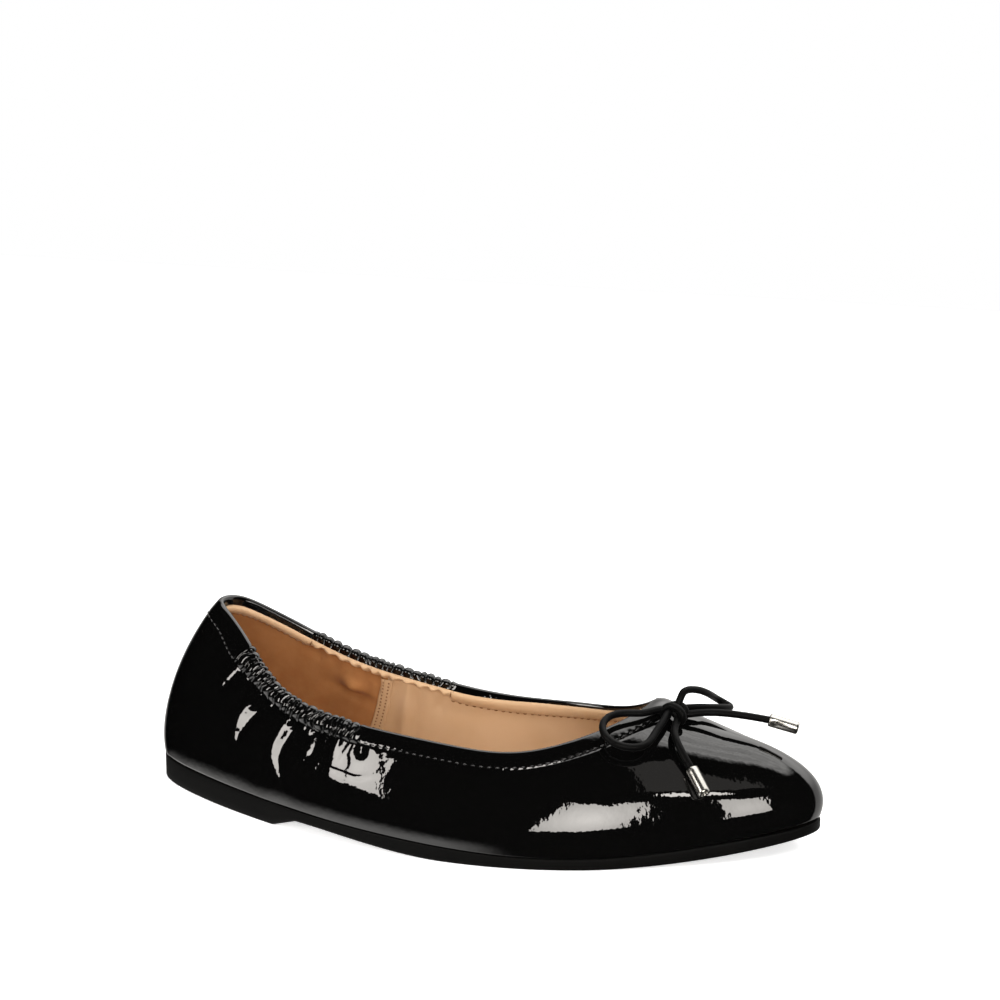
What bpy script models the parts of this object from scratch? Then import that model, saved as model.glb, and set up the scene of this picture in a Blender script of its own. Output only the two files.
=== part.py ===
"""Women's ballet flat for the right foot: patent upper with an elastic topline, rubber sole, cord bow.

The shoe stands on z = 0 with its toe toward +X and its medial side toward +Y. Sizes are millimetres, measured
from the back of the heel, and they become metres where a mesh is made.
"""

import bmesh
import bpy
import numpy as np
from mathutils import Matrix, Vector

MM = 0.001

# Driving dimensions
LENGTH = 240.0
BALL_WIDTH = 84.0
INSTEP_HEIGHT = 60.0
HEEL_HEIGHT = 9.3
WALL = 1.8
GAP = 0.3
THROAT = 0.764
INSOLE_THICKNESS = 3.0
INSOLE_INSET = 2.6

# Sole bottom: heel block, sloped breast, arch, flat tread and toe spring
BREAST_START = 62.5
BREAST_RUN = 10.0
ARCH_LIFT = 3.6
TREAD_START = 130.0
TREAD_END = 170.0
TOE_SPRING = 8.4
SOLE_EDGE_ROUND = 0.8

# Last sections from heel to toe. Along is a share of the length. Out, flare and ridge_out are shares of the
# ball width, ridge_height of the instep height. Rise and drop are shares of the section's own height and
# shoulder of its own width: they are the handles that shape the wall and the top of the section.
COLUMNS = ("lateral_along", "lateral_out", "medial_along", "medial_out", "ridge_along", "ridge_height",
           "ridge_out", "flare", "rise", "shoulder", "drop")
SECTIONS = {
    "heel": (0.012, 0.000, 0.012, 0.000, 0.188, 1.277, 0.000, 0.040, 0.28, 0.57, 0.23),
    "counter": (0.048, 0.180, 0.048, 0.228, 0.200, 1.248, 0.000, 0.047, 0.34, 0.56, 0.21),
    "seat": (0.178, 0.370, 0.175, 0.338, 0.258, 1.194, 0.000, 0.051, 0.40, 0.55, 0.16),
    "waist": (0.364, 0.530, 0.375, 0.314, 0.375, 1.105, 0.000, 0.050, 0.42, 0.51, 0.13),
    "instep": (0.553, 0.560, 0.577, 0.437, 0.500, 0.997, 0.000, 0.047, 0.42, 0.48, 0.09),
    "ball": (0.705, 0.464, 0.728, 0.442, 0.633, 0.876, 0.012, 0.046, 0.43, 0.46, 0.05),
    "toes": (0.845, 0.270, 0.861, 0.362, 0.767, 0.760, 0.024, 0.048, 0.46, 0.46, 0.00),
    "toe_box": (0.947, 0.095, 0.959, 0.211, 0.854, 0.655, 0.036, 0.052, 0.51, 0.47, 0.00),
    "tip": (0.996, -0.059, 0.996, 0.059, 0.883, 0.626, 0.042, 0.059, 0.56, 0.49, 0.00),
}

# Height of the line where upper and sole meet, as a share of the heel height, along the length
FEATHER = {
    "along": (0.000, 0.125, 0.250, 0.458, 0.625, 0.792, 1.000),
    "height": (1.000, 0.960, 0.892, 0.665, 0.468, 0.550, 1.397),
}

# Height of the topline as a share of the instep height. It ends on the ridge at the throat.
TOPLINE = {
    "along": (0.000, 0.092, 0.229, 0.375, 0.521, 0.625, 0.720),
    "lateral": (1.034, 1.098, 0.809, 0.659, 0.608, 0.592, 0.691),
    "medial": (1.034, 1.098, 0.828, 0.666, 0.554, 0.554, 0.638),
}

# Cord bow at the throat. The routes are measured from the middle of the knot.
KNOT = (192.5, -3.0, 45.2)
KNOT_SIZE = (7.4, 6.6, 4.6)
CORD = 2.4
CORD_STEP = 2.2 * CORD
TIP_LENGTH = 9.5
TIP_DIAMETER = 4.2
TIP_ROUND = 0.4
BOW = {
    "bow_loop_near": ((-4.5, -2.8, 1.1), (-8.3, -6.3, 0.6), (-14.0, -9.8, 0.8), (-18.3, -14.5, 0.2),
                      (-18.3, -19.5, -1.8), (-14.5, -22.8, -4.4), (-9.0, -22.3, -6.0), (-4.3, -18.7, -5.9),
                      (-2.9, -12.5, -3.7), (-1.8, -5.8, -0.6)),
    "bow_end_near": ((1.6, -5.0, -2.5), (3.3, -10.5, -4.9), (5.8, -13.1, -7.6), (10.5, -15.5, -13.2)),
    "bow_loop_far": ((0.9, 1.5, 4.1), (1.5, 2.9, 5.9), (3.4, 6.0, 6.2), (7.0, 14.0, 2.6), (9.7, 20.6, -1.8),
                     (12.0, 20.6, -2.9), (11.6, 16.6, -2.2), (8.1, 11.1, -0.9), (2.6, 4.9, 0.2)),
    "bow_end_far": ((5.4, 1.9, -0.5), (10.2, 4.6, -0.4), (16.4, 6.1, -0.5), (28.9, 9.0, -1.95)),
}
TIPS = {
    "tip_near": ("bow_end_near", (14.5, -17.0, -19.7)),
    "tip_far": ("bow_end_far", (36.9, 10.9, -4.1)),
}

BACK_SECTIONS = 34
FRONT_SECTIONS = 18
WALL_ROWS = 12
SOLE_STATIONS = 40
SOLE_COLUMNS = 5
OUTLINE_SAMPLES = 800


# Curves of the last
def smooth_curve(knots, values, closed=False):
    """Twice smooth cubic through the values at the knots; the answer also gives its first derivative."""
    knots = np.asarray(knots, float)
    values = np.asarray(values, float).reshape(len(knots), -1)
    step = np.diff(knots)
    slope = np.diff(values, axis=0) / step[:, None]
    count = len(knots)
    matrix = np.zeros((count, count))
    right = np.zeros_like(values)
    for i in range(1, count - 1):
        matrix[i, i - 1:i + 2] = step[i - 1], 2 * (step[i - 1] + step[i]), step[i]
        right[i] = 6 * (slope[i] - slope[i - 1])
    if closed:
        matrix[0, [0, -1]] = 1, -1
        matrix[-1, [0, 1, -2, -1]] = 2 * step[0], step[0], step[-1], 2 * step[-1]
        right[-1] = 6 * (slope[0] - slope[-1])
    else:
        matrix[0, 0] = 1
        matrix[-1, -1] = 1
    bend = np.linalg.solve(matrix, right)

    def value(at, derivative=False):
        at = np.asarray(at, float)
        i = np.clip(np.searchsorted(knots, at, side="right") - 1, 0, count - 2)
        width = step[i][..., None]
        b = (at - knots[i])[..., None] / width
        a = 1 - b
        if derivative:
            return slope[i] + width / 6 * ((1 - 3 * a**2) * bend[i] + (3 * b**2 - 1) * bend[i + 1])
        bulge = (a**3 - a) * bend[i] + (b**3 - b) * bend[i + 1]
        return a * values[i] + b * values[i + 1] + width**2 / 6 * bulge

    return value


ROWS = {name: np.array(column) for name, column in zip(COLUMNS, zip(*SECTIONS.values()))}
TIP_ROW = len(SECTIONS) - 1
FULL_TURN = 2 * TIP_ROW


def around(lateral, medial):
    """Closed curve that runs up the lateral rows from the heel to the tip and back down the medial rows."""
    loop = np.vstack([lateral, medial[-2:0:-1], lateral[:1]])
    return smooth_curve(np.arange(FULL_TURN + 1), loop, closed=True)


outline = around(
    np.column_stack([ROWS["lateral_along"] * LENGTH, -ROWS["lateral_out"] * BALL_WIDTH]),
    np.column_stack([ROWS["medial_along"] * LENGTH, ROWS["medial_out"] * BALL_WIDTH]),
)
handle_rows = np.column_stack([
    ROWS["ridge_along"] * LENGTH, ROWS["flare"] * BALL_WIDTH, ROWS["rise"], ROWS["shoulder"], ROWS["drop"],
])
handles = around(handle_rows, handle_rows)
ridge = smooth_curve(
    ROWS["ridge_along"] * LENGTH,
    np.column_stack([ROWS["ridge_out"] * BALL_WIDTH, ROWS["ridge_height"] * INSTEP_HEIGHT]),
)
feather_curve = smooth_curve(np.array(FEATHER["along"]) * LENGTH, np.array(FEATHER["height"]) * HEEL_HEIGHT)


def feather_height(x):
    return feather_curve(x)[..., 0]


def topline(side):
    """Height of the topline over x for one side, ending on the ridge at the throat."""
    throat = THROAT * LENGTH
    along = np.append(np.array(TOPLINE["along"]) * LENGTH, throat)
    height = np.append(np.array(TOPLINE[side]) * INSTEP_HEIGHT, ridge(throat)[1])
    curve = smooth_curve(along, height)
    return lambda x: curve(x)[..., 0]


def outward(turn):
    """Unit plan direction that points out of the outline."""
    tangent = outline(turn, derivative=True)
    normal = np.stack([tangent[..., 1], -tangent[..., 0]], axis=-1)
    return normal / np.linalg.norm(normal, axis=-1, keepdims=True)


def section_points(turn, share):
    """Points of the last's sections: turn picks the section, share runs from the sole edge to the ridge."""
    foot = outline(turn)
    foot = np.column_stack([foot, feather_height(foot[:, 0])])
    ridge_x, flare, rise, shoulder, drop = handles(turn).T
    top = np.column_stack([ridge_x, ridge(ridge_x)])
    ridge_slope = ridge(ridge_x, derivative=True)[:, 1]
    height = top[:, 2] - foot[:, 2]
    across = foot[:, :2] - top[:, :2]
    width = np.linalg.norm(across, axis=1)
    across = across / width[:, None]
    reach = shoulder * width
    low = foot + np.column_stack([outward(turn) * flare[:, None], rise * height])
    high = top + np.column_stack([across * reach[:, None], across[:, 0] * reach * ridge_slope - drop * height])
    s = np.asarray(share)[..., None]
    foot, low, high, top = (p[:, None, :] for p in (foot, low, high, top))
    return (1 - s)**3 * foot + 3 * s * (1 - s)**2 * low + 3 * s**2 * (1 - s) * high + s**3 * top


def throat_turn():
    """Turn of the lateral section whose ridge point is the throat."""
    turns = np.linspace(0, TIP_ROW, OUTLINE_SAMPLES)
    return np.interp(THROAT * LENGTH, handles(turns)[:, 0], turns)


def topline_share(turn, side):
    """Share of each section that lies below the topline: all of it ahead of the throat."""
    height = topline(side)
    low = np.zeros(len(turn))
    high = np.ones(len(turn))
    for _ in range(40):
        middle = (low + high) / 2
        point = section_points(turn, middle[:, None])[:, 0]
        above = point[:, 2] > height(point[:, 0])
        high = np.where(above, middle, high)
        low = np.where(above, low, middle)
    return np.where(handles(turn)[:, 0] >= THROAT * LENGTH - 1e-6, 1.0, high)


def sole_rows(stations, inset):
    """Lateral and medial edge of the outline, moved in by the inset, at each station along the shoe."""
    edges = []
    for start, stop in ((0, TIP_ROW), (FULL_TURN, TIP_ROW)):
        turn = np.linspace(start, stop, OUTLINE_SAMPLES)
        edge = outline(turn) - outward(turn) * inset
        edges.append(np.interp(stations, edge[:, 0], edge[:, 1]))
    return edges


def bottom_height(x):
    """Height of the tread: heel block on the ground, breast, arch, flat tread, then the toe spring."""
    breast = np.clip((x - BREAST_START) / BREAST_RUN, 0, 1)
    arch_start = BREAST_START + BREAST_RUN
    arch = np.clip((x - arch_start) / (TREAD_START - arch_start), 0, 1)
    spring = np.clip((x - TREAD_END) / (LENGTH - TREAD_END), 0, None)
    return ARCH_LIFT * breast * (1 - arch**2 * (3 - 2 * arch)) + TOE_SPRING * spring**2


# Blender helpers
def material(name, colour, roughness, metallic=0.0):
    made = bpy.data.materials.new(name)
    made.use_nodes = True
    shader = made.node_tree.nodes["Principled BSDF"]
    shader.inputs["Base Color"].default_value = (*colour, 1.0)
    shader.inputs["Roughness"].default_value = roughness
    shader.inputs["Metallic"].default_value = metallic
    return made


def add_object(name, data, look, smooth=True):
    """Puts the data in the shoe's collection, placed with the rest of the shoe."""
    made = bpy.data.objects.new(name, data)
    data.materials.append(look)
    shoe.objects.link(made)
    made.parent = placing
    if smooth and made.type == "MESH":
        data.shade_smooth()
    return made


def loft(name, rings, faces, look):
    mesh = bpy.data.meshes.new(name)
    mesh.from_pydata((np.asarray(rings) * MM).tolist(), [], faces)
    mesh.validate()
    return add_object(name, mesh, look)


# Sub-parts
def add_upper():
    """Shell of the last between the sole edge and the topline, thickened inward."""
    turn_at_throat = throat_turn()
    run = np.linspace(0, 1, BACK_SECTIONS)
    back = turn_at_throat * (1 - (1 - run)**1.6)
    front = np.linspace(turn_at_throat, TIP_ROW, FRONT_SECTIONS)[1:]
    lateral = np.concatenate([back, front])
    medial = FULL_TURN - lateral[-2:0:-1]
    turn = np.concatenate([lateral, medial])
    share = np.concatenate([topline_share(lateral, "lateral"), topline_share(medial, "medial")])
    rows = np.linspace(0, 1, WALL_ROWS + 1)
    points = section_points(turn, share[:, None] * rows)

    count = len(turn)
    index = np.arange(count * (WALL_ROWS + 1)).reshape(count, WALL_ROWS + 1)
    for i in range(BACK_SECTIONS - 1, len(lateral) - 1):
        index[count - i, -1] = index[i, -1]
    faces = []
    for i in range(count):
        after = (i + 1) % count
        for j in range(WALL_ROWS):
            faces.append((index[i, j], index[after, j], index[after, j + 1], index[i, j + 1]))
    used = np.unique(faces)
    renumber = np.zeros(index.size, int)
    renumber[used] = np.arange(len(used))
    upper = loft("upper", points.reshape(-1, 3)[used], renumber[np.array(faces)].tolist(), patent)
    shell = upper.modifiers.new("wall", "SOLIDIFY")
    shell.thickness = WALL * MM
    shell.offset = -1.0
    shell.use_even_offset = True
    shell.use_quality_normals = True
    return points.reshape(-1, 3)


def slab(name, inset, stations, top_height, base_height, look):
    """Closed loft across the shoe between two height functions, inside the outline moved in by the inset."""
    lateral, medial = sole_rows(stations, inset)
    across = np.linspace(0, 1, SOLE_COLUMNS)
    x = np.repeat(stations[:, None], SOLE_COLUMNS, axis=1)
    y = lateral[:, None] + (medial - lateral)[:, None] * across
    top = np.stack([x, y, top_height(x)], axis=-1)
    base = np.stack([x, y, base_height(x)], axis=-1)
    rings = np.concatenate([top, base[:, ::-1]], axis=1)
    count, sides = rings.shape[:2]
    faces = [tuple(range(sides)), tuple(reversed(range((count - 1) * sides, count * sides)))]
    for i in range(count - 1):
        for j in range(sides):
            after = (j + 1) % sides
            faces.append((i * sides + j, (i + 1) * sides + j, (i + 1) * sides + after, i * sides + after))
    return loft(name, rings.reshape(-1, 3), faces, look)


def round_edges(made, width):
    bevel = made.modifiers.new("edges", "BEVEL")
    bevel.width = width * MM
    bevel.segments = 2
    bevel.limit_method = "ANGLE"
    bevel.angle_limit = np.radians(40)


def stations_along(inset, extra=()):
    """Stations from heel to toe, close together at the round ends, with the extra ones among them."""
    turn = np.linspace(0, FULL_TURN, 2 * OUTLINE_SAMPLES)
    edge = outline(turn) - outward(turn) * inset
    first, last = edge[:, 0].min(), edge[:, 0].max()
    swing = np.linspace(0, np.pi, SOLE_STATIONS + 2)[1:-1]
    stations = first + (last - first) * (1 - np.cos(swing)) / 2
    for x in extra:
        stations[np.argmin(abs(stations - x))] = x
    return stations


def add_outsole():
    corners = (BREAST_START, BREAST_START + BREAST_RUN, TREAD_START, TREAD_END)
    stations = stations_along(0.0, corners)
    outsole = slab("outsole", 0.0, stations, lambda x: feather_height(x) - GAP, bottom_height, rubber)
    round_edges(outsole, SOLE_EDGE_ROUND)


def add_insole():
    stations = stations_along(INSOLE_INSET)
    insole = slab("insole", INSOLE_INSET, stations, lambda x: feather_height(x) + INSOLE_THICKNESS,
                  feather_height, footbed)
    round_edges(insole, SOLE_EDGE_ROUND)


def add_knot():
    mesh = bpy.data.meshes.new("bow_knot")
    shape = bmesh.new()
    bmesh.ops.create_uvsphere(shape, u_segments=16, v_segments=10, radius=0.5,
                              matrix=Matrix.Diagonal((*(Vector(KNOT_SIZE) * MM), 1.0)))
    shape.to_mesh(mesh)
    shape.free()
    knot = add_object("bow_knot", mesh, cord)
    knot.location = Vector(KNOT) * MM


def add_cord(name, route):
    """Round cord along a smooth curve through the route's points."""
    route = np.array(route)
    run = np.concatenate([[0], np.cumsum(np.linalg.norm(np.diff(route, axis=0), axis=1))])
    stops = np.linspace(0, run[-1], 1 + int(np.ceil(run[-1] / CORD_STEP)))
    points = smooth_curve(run, route)(stops)
    curve = bpy.data.curves.new(name, "CURVE")
    curve.dimensions = "3D"
    curve.bevel_depth = CORD / 2 * MM
    curve.bevel_resolution = 2
    curve.use_fill_caps = True
    line = curve.splines.new("POLY")
    line.points.add(len(points) - 1)
    for point, place in zip(line.points, points):
        point.co = (*(place * MM), 1.0)
    made = add_object(name, curve, cord)
    made.location = Vector(KNOT) * MM


def add_tip(name, cord_end, aim):
    """Metal tip on the end of a cord, pointing at the aim."""
    start = Vector(cord_end)
    along = (Vector(aim) - start).normalized()
    mesh = bpy.data.meshes.new(name)
    shape = bmesh.new()
    bmesh.ops.create_cone(shape, cap_ends=True, segments=20, radius1=TIP_DIAMETER / 2 * MM,
                          radius2=TIP_DIAMETER / 2 * MM, depth=TIP_LENGTH * MM)
    shape.to_mesh(mesh)
    shape.free()
    tip = add_object(name, mesh, metal)
    tip.rotation_euler = along.to_track_quat("Z", "Y").to_euler()
    tip.location = (Vector(KNOT) + start + along * (GAP + TIP_LENGTH / 2)) * MM
    round_edges(tip, TIP_ROUND)


for old in list(bpy.data.objects):
    bpy.data.objects.remove(old, do_unlink=True)

shoe = bpy.data.collections.new("ballet_flat")
bpy.context.scene.collection.children.link(shoe)
placing = bpy.data.objects.new("placing", None)
shoe.objects.link(placing)

patent = material("black patent leather", (0.012, 0.012, 0.013), 0.12)
rubber = material("black moulded rubber", (0.022, 0.022, 0.024), 0.55)
footbed = material("tan footbed leather", (0.48, 0.27, 0.13), 0.6)

cord = material("black waxed cord", (0.014, 0.014, 0.014), 0.7)
metal = material("polished metal tip", (0.75, 0.75, 0.74), 0.12, metallic=1.0)

shell_points = add_upper()
add_outsole()
add_insole()
add_knot()
for name, route in BOW.items():
    add_cord(name, route)
for name, (cord_name, aim) in TIPS.items():
    add_tip(name, BOW[cord_name][-1], aim)

# The middle of the shoe's box stands over the origin
middle = (shell_points.min(axis=0) + shell_points.max(axis=0)) / 2
placing.location = (-middle[0] * MM, -middle[1] * MM, 0.0)
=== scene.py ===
import math

import bpy
import numpy as np
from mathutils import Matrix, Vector
from mathutils.bvhtree import BVHTree
from mathutils.kdtree import KDTree


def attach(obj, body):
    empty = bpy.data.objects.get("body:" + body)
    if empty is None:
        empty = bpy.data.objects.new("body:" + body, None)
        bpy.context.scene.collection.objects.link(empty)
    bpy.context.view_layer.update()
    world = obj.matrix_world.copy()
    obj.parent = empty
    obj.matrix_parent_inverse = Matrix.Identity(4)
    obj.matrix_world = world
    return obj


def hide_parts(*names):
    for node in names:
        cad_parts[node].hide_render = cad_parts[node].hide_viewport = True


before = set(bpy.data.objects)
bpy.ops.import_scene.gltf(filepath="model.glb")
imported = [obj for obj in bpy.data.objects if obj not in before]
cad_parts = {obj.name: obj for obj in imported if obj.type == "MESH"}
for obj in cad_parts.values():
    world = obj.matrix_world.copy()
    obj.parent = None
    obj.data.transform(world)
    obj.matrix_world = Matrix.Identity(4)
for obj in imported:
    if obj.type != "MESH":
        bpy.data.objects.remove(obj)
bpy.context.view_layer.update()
print("frame loaded:", sorted(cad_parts))

# Camera at the photo's angle, for a square 1000 x 1000 frame
cameraView = {"place": (0.29067, -0.69251, 0.28640), "turn": (76.769, 0.0, 22.040), "lens": 84.483}
photoCamera = bpy.data.objects.new("photoCamera", bpy.data.cameras.new("photoCamera"))
photoCamera.location = cameraView["place"]
photoCamera.rotation_euler = [math.radians(angle) for angle in cameraView["turn"]]
photoCamera.data.lens = cameraView["lens"]
photoCamera.data.sensor_width = 36.0
photoCamera.data.clip_start = 0.01
bpy.context.scene.collection.objects.link(photoCamera)
bpy.context.scene.camera = photoCamera
bpy.context.scene.view_settings.view_transform = "Standard"
print("camera set")


# Small helpers for nodes and pieces
def linear(hexColour):  # sRGB hex to linear RGBA
    parts = [int(hexColour[i:i + 2], 16) / 255 for i in (1, 3, 5)]
    return tuple(c / 12.92 if c <= 0.04045 else ((c + 0.055) / 1.055) ** 2.4 for c in parts) + (1.0,)


def addNode(tree, kind, values=None, links=None, **settings):
    made = tree.nodes.new(kind)
    for key, value in settings.items():
        setattr(made, key, value)
    for key, value in (values or {}).items():
        made.inputs[key].default_value = value
    for key, source in (links or {}).items():
        tree.links.new(source, made.inputs[key])
    return made


def startMaterial(name, values):  # a Principled material with its even values set on the sockets
    made = bpy.data.materials.new(name)
    made.use_nodes = True
    shader = made.node_tree.nodes["Principled BSDF"]
    for key, value in values.items():
        shader.inputs[key].default_value = value
    return made, made.node_tree, shader


def linkObject(name, mesh):
    made = bpy.data.objects.new(name, mesh)
    bpy.context.scene.collection.objects.link(made)
    return made


def inMetres(points):  # from millimetres from the back of the heel to metres in the CAD's frame
    return (np.asarray(points) + last["shift"]) * 0.001


def addPiece(name, points, faces, material, slot, replaced=()):  # points in millimetres from the back of the heel
    mesh = bpy.data.meshes.new(name)
    corners = faces if isinstance(faces, list) else faces.tolist()
    mesh.from_pydata(inMetres(points).reshape(-1, 3).tolist(), [], corners)
    mesh.validate()
    mesh.shade_smooth()
    mesh.materials.append(material)
    piece = linkObject(name, mesh)
    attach(piece, "root")
    if replaced:
        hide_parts(*replaced)
    return piece


# Small helpers for shapes
def gridIndex(points):  # the number of each point of a grid
    return np.arange(points.shape[0] * points.shape[1]).reshape(points.shape[:2])


def gridFaces(index, closedLong=False, closedRound=False):
    if closedLong:
        index = np.vstack([index, index[:1]])
    if closedRound:
        index = np.column_stack([index, index[:, :1]])
    corners = (index[:-1, :-1], index[1:, :-1], index[1:, 1:], index[:-1, 1:])
    return np.stack(corners, axis=-1).reshape(-1, 4)


def gridNormals(points):  # normals of a grid that closes along its length
    along = np.roll(points, -1, axis=0) - np.roll(points, 1, axis=0)
    normal = np.cross(along, np.gradient(points, axis=1))
    return normal / (np.linalg.norm(normal, axis=-1, keepdims=True) + 1e-12)


def unit(vectors):
    return vectors / np.linalg.norm(vectors, axis=-1, keepdims=True)


def runAlong(points):  # distance along a line, at each of its points
    return np.concatenate([[0], np.cumsum(np.linalg.norm(np.diff(points, axis=0), axis=1))])


def evenOut(rows, times):  # averages each row of a closed loop with its neighbours
    for _ in range(times):
        rows = (np.roll(rows, 1, 0) + 2 * rows + np.roll(rows, -1, 0)) / 4
    return rows


def smoothStep(value, low, high):
    t = np.clip((value - low) / (high - low), 0, 1)
    return t * t * (3 - 2 * t)


def stretch(value, start, full, fading, stop):  # 0 before start and after stop, 1 from full to fading
    return smoothStep(value, start, full) * (1 - smoothStep(value, fading, stop))


def hump(value, middle, spread):  # a bell, 1 at its middle
    return np.exp(-((value - middle) / spread) ** 2)


def waves(points, size, seed, count=7):  # soft even noise from a few seeded sine waves, about -1 to 1
    rng = np.random.default_rng(seed)
    total = np.zeros(points.shape[:-1])
    for _ in range(count):
        direction = rng.normal(size=3)
        direction *= 2 * np.pi / size * rng.uniform(0.6, 1.6) / np.linalg.norm(direction)
        total += np.sin(points @ direction + rng.uniform(0, 2 * np.pi))
    return total / math.sqrt(count)


def unevenness(points, below, look):  # waviness that starts some way below the topline
    return look["height"] * waves(points, look["size"], look["seed"]) * smoothStep(below, *look["from"])


def findTree(points):
    tree = KDTree(len(points))
    for i, place in enumerate(points):
        tree.insert(place, i)
    tree.balance()
    return tree


# The last, with the CAD's own sizes: millimetres from the back of the heel, toe toward +X, medial toward +Y
last = {
    "length": 240.0, "ballWidth": 84.0, "instepHeight": 60.0, "heelHeight": 9.3, "throat": 0.764, "wall": 1.8,
    "shift": (-121.1823, 4.4914, 0.0),
    # lateral along and out, medial along and out, ridge along, height and out, flare, rise, shoulder, drop
    "heel": (0.012, 0.000, 0.012, 0.000, 0.188, 1.277, 0.000, 0.040, 0.28, 0.57, 0.23),
    "counter": (0.048, 0.180, 0.048, 0.228, 0.200, 1.248, 0.000, 0.047, 0.34, 0.56, 0.21),
    "seat": (0.178, 0.370, 0.175, 0.338, 0.258, 1.194, 0.000, 0.051, 0.40, 0.55, 0.16),
    "waist": (0.364, 0.530, 0.375, 0.314, 0.375, 1.105, 0.000, 0.050, 0.42, 0.51, 0.13),
    "instep": (0.553, 0.560, 0.577, 0.437, 0.500, 0.997, 0.000, 0.047, 0.42, 0.48, 0.09),
    "ball": (0.705, 0.464, 0.728, 0.442, 0.633, 0.876, 0.012, 0.046, 0.43, 0.46, 0.05),
    "toes": (0.845, 0.270, 0.861, 0.362, 0.767, 0.760, 0.024, 0.048, 0.46, 0.46, 0.00),
    "toeBox": (0.947, 0.095, 0.959, 0.211, 0.854, 0.655, 0.036, 0.052, 0.51, 0.47, 0.00),
    "tip": (0.996, -0.059, 0.996, 0.059, 0.883, 0.626, 0.042, 0.059, 0.56, 0.49, 0.00),
    "featherAlong": (0.000, 0.125, 0.250, 0.458, 0.625, 0.792, 1.000),
    "featherHeight": (1.000, 0.960, 0.892, 0.665, 0.468, 0.550, 1.397),
    "toplineAlong": (0.000, 0.092, 0.229, 0.375, 0.521, 0.625, 0.720),
    "toplineLateral": (1.034, 1.098, 0.809, 0.659, 0.608, 0.592, 0.691),
    "toplineMedial": (1.034, 1.098, 0.828, 0.666, 0.554, 0.554, 0.638),
}
lastRows = np.array([last[name] for name in
                     ("heel", "counter", "seat", "waist", "instep", "ball", "toes", "toeBox", "tip")])
tipRow = len(lastRows) - 1
fullTurn = 2 * tipRow


def smoothCurve(knots, values, closed=False):  # twice smooth cubic through the values
    knots = np.asarray(knots, float)
    values = np.asarray(values, float).reshape(len(knots), -1)
    step = np.diff(knots)
    slope = np.diff(values, axis=0) / step[:, None]
    count = len(knots)
    matrix = np.zeros((count, count))
    right = np.zeros_like(values)
    for i in range(1, count - 1):
        matrix[i, i - 1:i + 2] = step[i - 1], 2 * (step[i - 1] + step[i]), step[i]
        right[i] = 6 * (slope[i] - slope[i - 1])
    if closed:
        matrix[0, [0, -1]] = 1, -1
        matrix[-1, [0, 1, -2, -1]] = 2 * step[0], step[0], step[-1], 2 * step[-1]
        right[-1] = 6 * (slope[0] - slope[-1])
    else:
        matrix[0, 0] = 1
        matrix[-1, -1] = 1
    bend = np.linalg.solve(matrix, right)

    def value(at, derivative=False):
        at = np.asarray(at, float)
        i = np.clip(np.searchsorted(knots, at, side="right") - 1, 0, count - 2)
        width = step[i][..., None]
        b = (at - knots[i])[..., None] / width
        a = 1 - b
        if derivative:
            return slope[i] + width / 6 * ((1 - 3 * a**2) * bend[i] + (3 * b**2 - 1) * bend[i + 1])
        bulge = (a**3 - a) * bend[i] + (b**3 - b) * bend[i + 1]
        return a * values[i] + b * values[i + 1] + width**2 / 6 * bulge

    return value


def aroundLast(lateral, medial):  # closed curve: up the lateral rows to the tip, back down the medial ones
    loop = np.vstack([lateral, medial[-2:0:-1], lateral[:1]])
    return smoothCurve(np.arange(fullTurn + 1), loop, closed=True)


rowLength, rowWidth = last["length"], last["ballWidth"]
outline = aroundLast(np.column_stack([lastRows[:, 0] * rowLength, -lastRows[:, 1] * rowWidth]),
                     np.column_stack([lastRows[:, 2] * rowLength, lastRows[:, 3] * rowWidth]))
handleRows = np.column_stack([lastRows[:, 4] * rowLength, lastRows[:, 7] * rowWidth, lastRows[:, 8:]])
handles = aroundLast(handleRows, handleRows)
ridge = smoothCurve(lastRows[:, 4] * rowLength,
                    np.column_stack([lastRows[:, 6] * rowWidth, lastRows[:, 5] * last["instepHeight"]]))
featherCurve = smoothCurve(np.array(last["featherAlong"]) * rowLength,
                           np.array(last["featherHeight"]) * last["heelHeight"])


def featherHeight(x):
    return featherCurve(x)[..., 0]


def outward(turn):
    tangent = outline(turn, derivative=True)
    return unit(np.stack([tangent[..., 1], -tangent[..., 0]], axis=-1))


def sectionPoints(turn, share):  # turn picks the section, share runs from the sole edge to the ridge
    foot = outline(turn)
    foot = np.column_stack([foot, featherHeight(foot[:, 0])])
    ridgeX, flare, rise, shoulder, drop = handles(turn).T
    top = np.column_stack([ridgeX, ridge(ridgeX)])
    ridgeSlope = ridge(ridgeX, derivative=True)[:, 1]
    height = top[:, 2] - foot[:, 2]
    across = foot[:, :2] - top[:, :2]
    width = np.linalg.norm(across, axis=1)
    across = across / width[:, None]
    reach = shoulder * width
    low = foot + np.column_stack([outward(turn) * flare[:, None], rise * height])
    high = top + np.column_stack([across * reach[:, None], across[:, 0] * reach * ridgeSlope - drop * height])
    s = np.asarray(share)[..., None]
    foot, low, high, top = (p[:, None, :] for p in (foot, low, high, top))
    return (1 - s)**3 * foot + 3 * s * (1 - s)**2 * low + 3 * s**2 * (1 - s) * high + s**3 * top


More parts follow.
